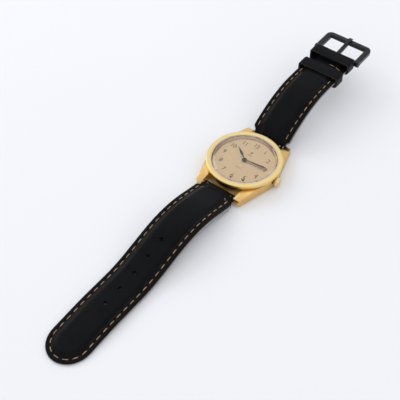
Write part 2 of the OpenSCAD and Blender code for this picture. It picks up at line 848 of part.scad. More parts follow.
mid_case();
bezel();
crystal();
crystal_gasket();
rehaut_ring();
case_back();
back_gasket();
crown_tube();
crown_gasket();
crown();
stem();
clutch_pinion();
movement_holder();
main_plate();
train_bridge();
movement_screws();
dial();
dial_washer();
battery_cell();
battery_clamp();
circuit_board();
oscillator_can();
coil();
stator();
rotor();
intermediate_wheel();
centre_wheel();
cannon_pinion();
minute_wheel();
setting_wheel();
hour_wheel();
setting_lever();
yoke();
hour_hand();
minute_hand();
hand_cap();
spring_bar_12();
spring_bar_6();
strap_12_upper();
strap_12_padding();
strap_12_lining();
fixed_keeper();
free_keeper();
buckle_bar();
buckle_frame();
buckle_tongue();
strap_6_upper();
strap_6_padding();
strap_6_lining();
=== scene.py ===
import math

import bpy
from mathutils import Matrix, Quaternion, Vector, kdtree


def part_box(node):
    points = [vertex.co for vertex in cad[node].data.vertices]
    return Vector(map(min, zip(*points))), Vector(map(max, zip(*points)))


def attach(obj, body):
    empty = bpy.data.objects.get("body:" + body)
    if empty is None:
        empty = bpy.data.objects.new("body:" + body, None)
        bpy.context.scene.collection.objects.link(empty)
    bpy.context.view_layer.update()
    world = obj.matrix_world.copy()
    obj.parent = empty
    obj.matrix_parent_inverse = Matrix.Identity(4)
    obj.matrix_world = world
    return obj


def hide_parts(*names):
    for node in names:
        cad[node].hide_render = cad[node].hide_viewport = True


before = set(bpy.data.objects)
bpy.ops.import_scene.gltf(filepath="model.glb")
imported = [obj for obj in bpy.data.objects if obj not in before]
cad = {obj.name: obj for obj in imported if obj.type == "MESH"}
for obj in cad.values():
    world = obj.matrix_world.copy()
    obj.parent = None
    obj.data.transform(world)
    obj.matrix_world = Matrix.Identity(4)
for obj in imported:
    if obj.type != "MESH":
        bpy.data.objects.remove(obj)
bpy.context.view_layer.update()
bpy.context.view_layer.update()

# ---------------------------------------------------------------- mid case
# The middle of the case is stamped from one bar with its four lugs, then
# gold plated. Its flanks are polished and its edges are just broken, so
# the cut shape is taken over and its edges rounded.
mm = 0.001
edge_break = 0.16 * mm


def set_socket(tree, socket, value):
    """Puts a link, or else a plain value, on a shader socket."""
    if isinstance(value, bpy.types.NodeSocket):
        tree.links.new(value, socket)
    else:
        socket.default_value = value


def add_node(tree, kind, sockets, **settings):
    """One shader node with its settings and the values of its sockets."""
    node = tree.nodes.new("ShaderNode" + kind)
    for key, value in settings.items():
        setattr(node, key, value)
    for key, value in sockets.items():
        set_socket(tree, node.inputs[key], value)
    return node


def around_axis(tree, place, axis):
    """Coordinates of turned work: distance from the axis and place along it."""
    across = add_node(tree, "VectorMath", {0: place, 1: [1 - a for a in axis]}, operation="MULTIPLY")
    radius = add_node(tree, "VectorMath", {0: across.outputs[0]}, operation="LENGTH")
    along = add_node(tree, "VectorMath", {0: place, 1: axis}, operation="DOT_PRODUCT")
    return add_node(tree, "CombineXYZ",
                    {"X": radius.outputs["Value"], "Y": along.outputs["Value"]}).outputs[0]


def make_finish(name, dark, light, rough, patch=(300, 300, 300), grain=(4000, 4000, 4000),
                relief=0.01, turned_about=None, centre=(0, 0, 0), **shader):
    """A finish with uneven colour, uneven gloss and a fine grain.

    patch and grain are the sizes of the colour patches and of the grain, as
    repeats in a metre along X, Y and Z, and relief is the grain's depth in mm.
    """
    finish = bpy.data.materials.new(name)
    finish.use_nodes = True
    tree = finish.node_tree
    surface = tree.nodes["Principled BSDF"]
    place = add_node(tree, "TexCoord", {}).outputs["Object"]
    place = add_node(tree, "Mapping", {"Vector": place, "Location": [-c for c in centre]}).outputs[0]
    if turned_about:
        place = around_axis(tree, place, turned_about)
    patches = add_node(tree, "Mapping", {"Vector": place, "Scale": patch})
    cloud = add_node(tree, "TexNoise", {"Vector": patches.outputs[0], "Scale": 1.0, "Detail": 4.0})
    tone = add_node(tree, "ValToRGB", {"Fac": cloud.outputs["Fac"]})
    tone.color_ramp.elements[0].position = 0.35
    tone.color_ramp.elements[0].color = (*dark, 1)
    tone.color_ramp.elements[1].position = 0.65
    tone.color_ramp.elements[1].color = (*light, 1)
    gloss = add_node(tree, "MapRange", {"Value": cloud.outputs["Fac"], "From Min": 0.3, "From Max": 0.7,
                                        "To Min": rough[0], "To Max": rough[1]})
    grains = add_node(tree, "Mapping", {"Vector": place, "Scale": grain})
    fibre = add_node(tree, "TexNoise", {"Vector": grains.outputs[0], "Scale": 1.0, "Detail": 3.0})
    bump = add_node(tree, "Bump", {"Height": fibre.outputs["Fac"], "Distance": relief * mm, "Strength": 1.0})
    set_socket(tree, surface.inputs["Base Color"], tone.outputs["Color"])
    set_socket(tree, surface.inputs["Roughness"], gloss.outputs[0])
    set_socket(tree, surface.inputs["Normal"], bump.outputs["Normal"])
    for key, value in shader.items():
        surface.inputs[key.replace("_", " ")].default_value = value
    return finish


def give_finish(piece, *finishes):
    """Replaces whatever finishes a piece has."""
    piece.data.materials.clear()
    for finish in finishes:
        piece.data.materials.append(finish)


def select_only(piece):
    bpy.ops.object.select_all(action="DESELECT")
    piece.select_set(True)
    bpy.context.view_layer.objects.active = piece


def smooth(piece, degrees=30):
    select_only(piece)
    bpy.ops.object.shade_smooth_by_angle(angle=math.radians(degrees))


def apply_modifier(piece, kind, **settings):
    select_only(piece)
    modifier = piece.modifiers.new(kind.title(), kind)
    for key, value in settings.items():
        setattr(modifier, key, value)
    bpy.ops.object.modifier_apply(modifier=modifier.name)


def rounded_copy(name, node, width, segments=3, angle=28):
    """A copy of a CAD node, merged into whole faces, with its edges rounded."""
    piece = cad[node].copy()
    piece.data = cad[node].data.copy()
    piece.name = piece.data.name = name
    piece.parent = None
    bpy.context.scene.collection.objects.link(piece)
    select_only(piece)
    bpy.ops.object.mode_set(mode="EDIT")
    bpy.ops.mesh.select_all(action="SELECT")
    bpy.ops.mesh.remove_doubles(threshold=0.002 * mm)
    bpy.ops.mesh.customdata_custom_splitnormals_clear()
    bpy.ops.mesh.dissolve_limited(angle_limit=math.radians(0.5))
    bpy.ops.object.mode_set(mode="OBJECT")
    apply_modifier(piece, "BEVEL", width=width, segments=segments, limit_method="ANGLE",
                   angle_limit=math.radians(angle), use_clamp_overlap=True, harden_normals=False)
    smooth(piece, angle)
    return piece


def finished(piece, body, slot, *replaced):
    """Hands a piece over to the body it moves with."""
    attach(piece, body)
    if replaced:
        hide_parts(*replaced)


gold_side = make_finish("gold_polished", (0.70, 0.44, 0.15), (0.84, 0.56, 0.22), (0.16, 0.26),
                        patch=(120, 120, 400), grain=(300, 300, 6000), relief=0.004, Metallic=1.0)
case_piece = rounded_copy("case_middle", "mid_case", edge_break)
give_finish(case_piece, gold_side)
finished(case_piece, "case", "gold_case", "mid_case")

# ------------------------------------------------------------------- bezel
# The bezel is turned from brass and gold plated. Its flat top is brushed
# round and round, its outer wall is polished, and it is pressed on the case.
bezel_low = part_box("bezel")[0].z / mm
bezel_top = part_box("bezel")[1].z / mm
bezel_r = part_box("bezel")[1].x / mm
bezel_bore = 15.8
bezel_round = 0.5


def arc(centre_r, centre_z, radius, start, end, steps=6):
    """Points of a quarter or other arc in a turned outline, angles in degrees."""
    turns = [math.radians(start + (end - start) * k / steps) for k in range(steps + 1)]
    return [(centre_r + radius * math.cos(a), centre_z + radius * math.sin(a)) for a in turns]


def turned(name, outline, steps=240, solid=False, angle=30):
    """Work turned on the lathe from an outline of (radius, height) points in mm.

    A ring's outline closes on itself. A solid's outline starts at the middle
    of its underside and ends at the middle of its top.
    """
    bpy.ops.object.select_all(action="DESELECT")
    first_r, first_z = outline[0]
    bpy.ops.mesh.primitive_circle_add(vertices=steps, radius=first_r * mm,
                                      fill_type="NGON" if solid else "NOTHING")
    piece = bpy.context.object
    piece.name = piece.data.name = name
    bpy.ops.object.mode_set(mode="EDIT")
    bpy.ops.mesh.select_all(action="SELECT")
    bpy.ops.transform.translate(value=(0, 0, first_z * mm))
    path = outline if solid else outline + outline[:1]
    for (r, z), (next_r, next_z) in zip(path, path[1:]):
        bpy.ops.mesh.extrude_region_move(TRANSFORM_OT_translate={"value": (0, 0, (next_z - z) * mm)})
        bpy.ops.transform.resize(value=(next_r / r, next_r / r, 1), center_override=(0, 0, 0))
    bpy.ops.mesh.select_all(action="SELECT")
    bpy.ops.mesh.remove_doubles(threshold=0.001 * mm)
    bpy.ops.mesh.normals_make_consistent(inside=False)
    bpy.ops.object.mode_set(mode="OBJECT")
    smooth(piece, angle)
    return piece


gold_brushed = make_finish("gold_brushed", (0.80, 0.60, 0.24), (0.88, 0.69, 0.30), (0.30, 0.40),
                           patch=(500, 300, 1), grain=(14000, 3000, 1), relief=0.006,
                           turned_about=(0, 0, 1), Metallic=1.0, Anisotropic=0.4)
bezel_piece = turned("bezel_ring", [
    (15.5, bezel_low), (bezel_r - 0.45, bezel_low), (bezel_r - 0.05, bezel_low + 0.35),
    *arc(bezel_r - bezel_round, bezel_top - bezel_round, bezel_round, 0, 90),
    *arc(bezel_bore + 0.15, bezel_top - 0.15, 0.15, 90, 180, 3),
    (bezel_bore, bezel_low + 1.0), (15.5, bezel_low + 1.0)])
give_finish(bezel_piece, gold_brushed)
finished(bezel_piece, "case", "gold_case", "bezel")

# ------------------------------------------------- crystal and its gasket
# A low dome of mineral glass with a ground edge, held in the bezel by a
# white nylon ring that shows as a pale line round the glass.
crystal_r = 15.43
crystal_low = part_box("crystal")[0].z / mm
crystal_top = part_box("crystal")[1].z / mm
dome_rise = 0.9
glass_t = 0.95


def dome(radius, top, rise, outward, steps=14):
    """Points of a shallow dome from its middle outwards, or back inwards."""
    sphere = (radius ** 2 + rise ** 2) / (2 * rise)
    radii = [max(0.15, radius * k / steps) for k in range(steps + 1)]
    points = [(r, top - sphere + math.sqrt(sphere ** 2 - r ** 2)) for r in radii]
    return points if outward else points[::-1]


glass = bpy.data.materials.new("mineral_glass")
glass.use_nodes = True
glass_tree = glass.node_tree
glass_surface = glass_tree.nodes["Principled BSDF"]
smear_place = add_node(glass_tree, "TexCoord", {}).outputs["Object"]
smears = add_node(glass_tree, "TexNoise", {"Vector": smear_place, "Scale": 180.0, "Detail": 3.0})
smear_gloss = add_node(glass_tree, "MapRange", {"Value": smears.outputs["Fac"], "From Min": 0.4,
                                               "From Max": 0.8, "To Min": 0.0, "To Max": 0.03})
set_socket(glass_tree, glass_surface.inputs["Roughness"], smear_gloss.outputs[0])
glass_surface.inputs["Base Color"].default_value = (0.97, 0.98, 1.0, 1)
glass_surface.inputs["Transmission Weight"].default_value = 1.0
glass_surface.inputs["IOR"].default_value = 1.5
glass_surface.inputs["Specular IOR Level"].default_value = 0.16
crystal_piece = turned("crystal_dome", [
    *dome(crystal_r - 0.9, crystal_top - glass_t, dome_rise - 0.1, True),
    (crystal_r - 0.85, crystal_low), (crystal_r - 0.1, crystal_low), (crystal_r, crystal_low + 0.1),
    *[(r, z) for r, z in dome(crystal_r, crystal_top, dome_rise, False)][1:]], solid=True, angle=40)
crystal_piece.visible_shadow = False
give_finish(crystal_piece, glass)
finished(crystal_piece, "case", "crystal", "crystal")

nylon = make_finish("white_nylon", (0.66, 0.64, 0.70), (0.80, 0.79, 0.84), (0.25, 0.4),
                    relief=0.003, Subsurface_Weight=0.1)
gasket_low, gasket_high = (corner.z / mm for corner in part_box("crystal_gasket"))
gasket_piece = turned("crystal_seat_ring", [
    (15.46, gasket_low), (15.79, gasket_low), (15.79, gasket_high - 0.08),
    *arc(15.625, gasket_high - 0.08, 0.165, 0, 180, 6)])
give_finish(gasket_piece, nylon)
finished(gasket_piece, "case", "white_nylon", "crystal_gasket")

# ------------------------------------------------------------ rehaut ring
# The polished slope between the glass and the dial. It mirrors the dial
# and the glass edge as thin rings one inside the other.
rehaut_low, rehaut_high = (corner.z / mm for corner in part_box("rehaut_ring"))
# Its gold is a dark brown well below the case's gold: painted dark reflection, standing in for the shade
# this polished slope mirrors.
gold_mirror_painted_dark = make_finish("gold_mirror_painted_dark", (0.42, 0.27, 0.12), (0.52, 0.34, 0.17), (0.08, 0.14),
                          patch=(900, 1, 1), grain=(6000, 6000, 1), relief=0.004,
                          turned_about=(0, 0, 1), Metallic=1.0)
rehaut_piece = turned("rehaut_slope", [
    (13.9, rehaut_low), (15.19, rehaut_low), (15.19, 5.4), (15.39, 5.4), (15.39, rehaut_high),
    (15.05, rehaut_high), (14.98, rehaut_high - 0.05), (14.62, 5.95), (14.5, 5.95),
    (13.94, rehaut_low + 0.1)])
give_finish(rehaut_piece, gold_mirror_painted_dark)
finished(rehaut_piece, "case", "gold_ring", "rehaut_ring")

# -------------------------------------------------------------------- dial
# A thin brass disc with a fine-grained champagne finish. The numbers and
# three small plain marks are printed in dark ink, and the ring of numbers
# sits a few degrees round from the case's own axis.
dial_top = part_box("dial")[1].z
number_r = 11.0 * mm
dial_turn = 3.5
number_h = 2.5 * mm
ink_t = 0.03 * mm
cap_share = 0.73

dial_finish = make_finish("dial_grain", (0.72, 0.50, 0.265), (0.79, 0.56, 0.305), (0.38, 0.5),
                          patch=(1800, 1800, 1800), grain=(9000, 9000, 9000), relief=0.014,
                          Metallic=0.25, Specular_IOR_Level=0.35)
give_finish(cad["dial"], dial_finish)
ink = make_finish("dial_ink", (0.006, 0.005, 0.005), (0.014, 0.011, 0.010), (0.35, 0.5), relief=0.004,
                  Specular_IOR_Level=0.15)
faded_ink = make_finish("dial_ink_thin", (0.14, 0.085, 0.045), (0.22, 0.14, 0.08), (0.4, 0.5), relief=0.004)


def join_pieces(name, pieces):
    select_only(pieces[0])
    for piece in pieces:
        piece.select_set(True)
    bpy.ops.object.join()
    joined = bpy.context.object
    joined.name = joined.data.name = name
    return joined


def printed_number(number):
    """One number, upright on the dial, with its middle on the number circle."""
    turn = math.radians(90 + dial_turn - 30 * number)
    bpy.ops.object.select_all(action="DESELECT")
    bpy.ops.object.text_add()
    text = bpy.context.object
    text.data.body = str(number)
    text.data.size = number_h / cap_share
    text.data.space_character = 0.9
    text.data.align_x = "CENTER"
    text.data.align_y = "CENTER"
    text.data.offset = -0.012 * mm
    text.data.extrude = ink_t / 2
    text.location = (number_r * math.cos(turn), number_r * math.sin(turn), dial_top + ink_t / 2)
    bpy.ops.object.convert(target="MESH")
    bpy.ops.object.transform_apply(location=True, rotation=True, scale=True)
    return bpy.context.object


numbers = join_pieces("dial_numbers", [printed_number(n) for n in range(1, 13)])
give_finish(numbers, ink)
finished(numbers, "case", "hand_black")


def printed_mark(x, y, width, height, sides, turn):
    """A small plain mark of a few sides."""
    bpy.ops.object.select_all(action="DESELECT")
    bpy.ops.mesh.primitive_cylinder_add(vertices=sides, radius=0.5 * mm, depth=ink_t)
    mark = bpy.context.object
    bpy.ops.object.mode_set(mode="EDIT")
    bpy.ops.mesh.select_all(action="SELECT")
    bpy.ops.transform.rotate(value=turn, orient_axis="Z", center_override=(0, 0, 0))
    bpy.ops.transform.resize(value=(width, height, 1), center_override=(0, 0, 0))
    bpy.ops.mesh.bevel(offset=0.01 * mm, segments=1)
    bpy.ops.transform.translate(value=(x * mm, y * mm, dial_top + ink_t / 2))
    bpy.ops.object.mode_set(mode="OBJECT")
    return mark


marks = join_pieces("dial_marks", [
    printed_mark(0, 6.0, 1.3, 1.7, 4, 0),
    printed_mark(0, 4.2, 3.6, 0.42, 4, math.radians(45)),
    printed_mark(0, -5.2, 3.8, 0.35, 4, math.radians(45))])
give_finish(marks, faded_ink)
finished(marks, "case", "hand_black")

# ------------------------------------------------------------------- hands
# Two leaf hands stamped from brass with a ridge down the middle, lacquered
# black, with the bright metal left along their edges, and a black cap.
hand_gloss = make_finish("hand_lacquer", (0.003, 0.003, 0.004), (0.007, 0.006, 0.007), (0.12, 0.2),
                         relief=0.002, Specular_IOR_Level=0.12)
hand_edge = make_finish("hand_bare_edge", (0.55, 0.40, 0.18), (0.75, 0.58, 0.30), (0.15, 0.25),
                        relief=0.002, Metallic=1.0)


def grid_slab(name, across, along, place):
    """A flat grid made thick, with each point then put where place says.

    place gets the column, the row and whether the point is on the upper side.
    """
    bpy.ops.object.select_all(action="DESELECT")
    bpy.ops.mesh.primitive_grid_add(x_subdivisions=across, y_subdivisions=along, size=1)
    piece = bpy.context.object
    piece.name = piece.data.name = name
    bpy.ops.object.mode_set(mode="EDIT")
    bpy.ops.mesh.select_all(action="SELECT")
    bpy.ops.mesh.extrude_region_move(TRANSFORM_OT_translate={"value": (0, 0, -1)})
    bpy.ops.object.mode_set(mode="OBJECT")
    for point in piece.data.vertices:
        column = round((point.co.x + 0.5) * across)
        row = round((point.co.y + 0.5) * along)
        point.co = place(column, row, point.co.z > -0.5)
    bpy.ops.object.mode_set(mode="EDIT")
    bpy.ops.mesh.select_all(action="SELECT")
    bpy.ops.mesh.remove_doubles(threshold=0.001 * mm)
    bpy.ops.mesh.normals_make_consistent(inside=False)
    bpy.ops.object.mode_set(mode="OBJECT")
    return piece


def leaf_hand(name, node, angle, length, width, boss, bore, outline):
    """A ridged leaf that points along its own angle, on a turned boss.

    The outline gives half the leaf's width at each share of its length.
    """
    low, high = (corner.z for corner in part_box(node))
    turn = math.radians(angle)
    columns = [-1.0, -0.82, 0.0, 0.82, 1.0]

    def place(column, row, upper):
        along, half = outline[row]
        side = columns[column] * half * width * mm
        far = along * length * mm
        height = low + 0.04 * mm
        if upper:
            height = high - (0.0 if column == 2 else 0.07 * mm if column in (1, 3) else 0.11 * mm)
        return Vector((far * math.cos(turn) - side * math.sin(turn),
                       far * math.sin(turn) + side * math.cos(turn), height))

    leaf = grid_slab(name + "_leaf", 4, len(outline) - 1, place)
    give_finish(leaf, hand_gloss, hand_edge)
    for face in leaf.data.polygons:
        middle = face.center.xy
        off_side = abs(-middle.x * math.sin(turn) + middle.y * math.cos(turn))
        share = middle.length / (length * mm)
        rows = [(a, b) for a, b in zip(outline, outline[1:]) if a[0] <= share <= b[0]]
        half = (rows[0][0][1] + rows[0][1][1]) / 2 * width * mm if rows else 0
        face.material_index = 1 if half and off_side > 0.84 * half else 0
    ring = turned(name + "_boss", [
        (bore, low / mm), (boss - 0.05, low / mm), (boss, low / mm + 0.05),
        (boss, high / mm - 0.05), (boss - 0.05, high / mm), (bore, high / mm)], steps=64)
    give_finish(ring, hand_gloss, hand_edge)
    return join_pieces(name, [leaf, ring])


hour_piece = leaf_hand("hour_leaf", "hour_hand", 143, 9.3, 1.5, 1.2, 0.76, [
    (0.0, 0.20), (0.15, 0.22), (0.3, 0.32), (0.42, 0.44), (0.52, 0.5), (0.62, 0.46),
    (0.74, 0.33), (0.86, 0.16), (0.95, 0.07), (1.0, 0.02)])
finished(hour_piece, "hour_hand", "hand_black", "hour_hand")
minute_piece = leaf_hand("minute_leaf", "minute_hand", 6, 12.0, 1.1, 0.98, 0.43, [
    (0.0, 0.26), (0.15, 0.28), (0.3, 0.34), (0.5, 0.44), (0.7, 0.5), (0.82, 0.48),
    (0.9, 0.36), (0.96, 0.18), (1.0, 0.03)])
finished(minute_piece, "minute_hand", "hand_black", "minute_hand")
cap_low, cap_high = (corner.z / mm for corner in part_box("hand_cap"))
cap_piece = turned("centre_cap", [
    (0.05, cap_low), (0.66, cap_low), (0.7, cap_low + 0.05),
    *arc(0.55, cap_high - 0.15, 0.15, 0, 90, 4), (0.05, cap_high)], steps=64, solid=True)
give_finish(cap_piece, hand_gloss)
finished(cap_piece, "minute_hand", "hand_black", "hand_cap")

# --------------------------------------------- crown, its stem and seal
# The crown is turned and gold plated, with flutes cut along its rim for
# the fingers. It sits on a steel stem and closes on a rubber ring.
crown_low, crown_high = (corner.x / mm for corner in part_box("crown"))
crown_axis_z = 3.1
crown_r = 2.2
flutes = 32
flute_depth = 0.15

gold_crown = make_finish("gold_crown", (0.72, 0.52, 0.24), (0.86, 0.70, 0.42), (0.18, 0.28),
                         patch=(700, 700, 700), grain=(3000, 9000, 9000), relief=0.004, Metallic=1.0)


def laid_along_x(piece, x, z):
    """Turns work made along Z so that it lies along X."""
    select_only(piece)
    for point in piece.data.vertices:
        point.co = Vector((point.co.z + x * mm, point.co.y, z * mm - point.co.x))
    bpy.ops.object.mode_set(mode="EDIT")
    bpy.ops.mesh.select_all(action="SELECT")
    bpy.ops.mesh.normals_make_consistent(inside=False)
    bpy.ops.object.mode_set(mode="OBJECT")
    return piece


crown_l = crown_high - crown_low
crown_piece = turned("crown_knob", [
    (1.4, 0.0), (crown_r - 0.3, 0.0), (crown_r - 0.2, 0.08), (crown_r - 0.2, 0.25),
    (crown_r - 0.04, 0.34), (crown_r, 0.45), (crown_r, crown_l - 0.5), (crown_r - 0.06, crown_l - 0.34),
    (crown_r - 0.25, crown_l - 0.22), *arc(crown_r - 0.55, crown_l - 0.25, 0.25, 45, 90, 3),
    (0.8, crown_l - 0.02), (0.1, crown_l), (0.1, 1.5), (1.4, 1.5)], steps=flutes * 8, angle=40)
for point in crown_piece.data.vertices:
    radius = point.co.xy.length
    if radius > (crown_r - 0.1) * mm:
        turn = math.atan2(point.co.y, point.co.x)
        cut = flute_depth * mm * (0.5 - 0.5 * math.cos(turn * flutes)) ** 2
        point.co.xy *= (radius - cut) / radius
laid_along_x(crown_piece, crown_low, crown_axis_z)
give_finish(crown_piece, gold_crown)
finished(crown_piece, "crown", "gold_crown", "crown")

steel = make_finish("fine_steel", (0.50, 0.51, 0.53), (0.66, 0.67, 0.69), (0.22, 0.34),
                    patch=(600, 600, 600), grain=(2500, 9000, 9000), relief=0.004, Metallic=1.0)
rubber = make_finish("seal_rubber", (0.012, 0.012, 0.012), (0.03, 0.03, 0.03), (0.55, 0.75), relief=0.01)
give_finish(cad["stem"], steel)
give_finish(cad["crown_tube"], steel)
give_finish(cad["crown_gasket"], rubber)

# --------------------------------------------------------------- case back
# A plain snap back, turned flat with three fine steps, and satin finished
# in rings. A rubber ring seals it inside the case.
back_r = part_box("case_back")[1].x / mm
back_t = 0.9
gold_back = make_finish("gold_satin_back", (0.62, 0.47, 0.22), (0.74, 0.58, 0.30), (0.26, 0.38),
                        patch=(900, 1, 1), grain=(9000, 1, 1), relief=0.008,
                        turned_about=(0, 0, 1), Metallic=1.0, Anisotropic=0.4)
back_piece = turned("case_back_plate", [
    (0.1, 0.12), (8.0, 0.12), (8.1, 0.0), (11.6, 0.0), (11.7, 0.1), (12.0, 0.1), (12.1, 0.0),
    (13.9, 0.0), (14.0, 0.12), (14.4, 0.12), (14.5, 0.0), (back_r - 0.25, 0.0), (back_r - 0.02, 0.22),
    (back_r - 0.02, back_t - 0.05), (back_r - 0.1, back_t), (14.92, back_t), (14.92, 1.9),
    (14.27, 1.9), (14.27, back_t), (0.1, back_t)], solid=True, angle=25)
give_finish(back_piece, gold_back)
finished(back_piece, "case", "gold_back", "case_back")
give_finish(cad["back_gasket"], rubber)

# ------------------------------------------------------- quartz movement
# A small two-hand quartz movement in an ivory plastic holder: brass plates
# and wheels, steel levers, a copper coil, a green board and a button cell.
brass = make_finish("satin_brass", (0.58, 0.42, 0.16), (0.74, 0.56, 0.25), (0.25, 0.38),
                    patch=(500, 500, 500), grain=(600, 9000, 9000), relief=0.005, Metallic=1.0)
ivory = make_finish("ivory_plastic", (0.62, 0.57, 0.46), (0.72, 0.67, 0.55), (0.38, 0.5),
                    relief=0.008, Subsurface_Weight=0.05)
board = make_finish("green_board", (0.006, 0.07, 0.03), (0.02, 0.16, 0.07), (0.2, 0.32),
                    patch=(1500, 300, 300), grain=(2500, 2500, 2500), relief=0.01, Coat_Weight=0.3)
copper = make_finish("copper_winding", (0.42, 0.12, 0.04), (0.62, 0.22, 0.09), (0.2, 0.32),
                     patch=(2000, 2000, 300), grain=(9000, 9000, 500), relief=0.03, Metallic=0.9)
magnet = make_finish("dark_magnet", (0.05, 0.05, 0.055), (0.10, 0.10, 0.11), (0.3, 0.45),
                     relief=0.01, Metallic=0.8)
cell_steel = make_finish("cell_steel", (0.58, 0.59, 0.60), (0.68, 0.69, 0.70), (0.15, 0.24),
                         patch=(900, 900, 1), grain=(7000, 7000, 1), relief=0.003, Metallic=1.0)
felt = make_finish("felt_filler", (0.05, 0.05, 0.05), (0.10, 0.10, 0.10), (0.8, 0.95),
                   grain=(2500, 2500, 2500), relief=0.08, Sheen_Weight=0.4)
movement_finishes = {
    brass: ["main_plate", "train_bridge", "dial_washer", "intermediate_wheel", "centre_wheel",
            "cannon_pinion", "minute_wheel", "setting_wheel", "hour_wheel"],
    steel: ["movement_screws", "battery_clamp", "oscillator_can", "stator", "setting_lever",
            "yoke", "clutch_pinion"],
    ivory: ["movement_holder"],
    board: ["circuit_board"],
    copper: ["coil"],
    magnet: ["rotor"],
    cell_steel: ["battery_cell"],
    felt: ["strap_12_padding", "strap_6_padding"],
}
for movement_finish, members in movement_finishes.items():
    for member in members:
        give_finish(cad[member], movement_finish)

# ------------------------------------------------------------- spring bars
# A steel tube with a sprung tip at each end, caught in blind holes in the
# lugs. Only its ends show, beside the strap.
bar_y = 20.2
bar_z = 2.8
for spring_bar, side in (("spring_bar_12", 1), ("spring_bar_6", -1)):
    half_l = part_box(spring_bar)[1].x / mm
    spring_piece = turned(spring_bar + "_turned", [
        (0.3, -half_l), (0.38, -half_l + 0.08), (0.38, -8.9), (0.5, -8.84), (0.9, -8.8), (0.9, -8.6),
        (0.74, -8.58), (0.74, -8.2), (0.68, -8.1), (0.68, 8.1), (0.74, 8.2), (0.74, 8.58),
        (0.9, 8.6), (0.9, 8.8), (0.5, 8.84), (0.38, 8.9), (0.38, half_l - 0.08), (0.3, half_l)],
        steps=48, solid=True)
    laid_along_x(spring_piece, 0, bar_z)
    for point in spring_piece.data.vertices:
        point.co.y += side * bar_y * mm
    give_finish(spring_piece, steel)
    finished(spring_piece, "case", "steel", spring_bar)

# ------------------------------------------------------------------ straps
# Each strap is black calf over a felt filler, with a plain lining glued
# and stitched on. The upper is folded round the spring bar, stands proud
# over the filler, and is pressed down flat along its stitched edge.
lug_t = 4.6
lining_share = 0.42
pad_rise = 0.9
neck_half = 8.5
strap_half = 10.0
neck_end = 22.6
shoulder_l = 1.6
end_half = 9.3
tip_l = 11.0
fold_r = 1.7
nose = 0.26
nose_share = 0.1
stitch_inset = 1.95
pad_edge = 2.5
pad_slope = 2.4
row_step = 0.5
lining_start_rows = 4
feel_x = 3.0
feel_z = -10.0
hole_r = 0.9
first_hole = 61.5
hole_pitch = 9.2
hole_count = 5
buckle_y = 80.0
buckle_fold_r = 1.5
buckle_bar_z = 15.7

black_calf = make_finish("black_calf", (0.0014, 0.0016, 0.0022), (0.0026, 0.0028, 0.0036), (0.34, 0.46),
                         patch=(140, 140, 140), grain=(3200, 3200, 3200), relief=0.022,
                         Specular_IOR_Level=0.08)
lining_calf = make_finish("lining_calf", (0.24, 0.222, 0.222), (0.32, 0.298, 0.296), (0.6, 0.75),
                          patch=(350, 350, 350), grain=(2600, 2600, 2600), relief=0.03,
                          Specular_IOR_Level=0.3)


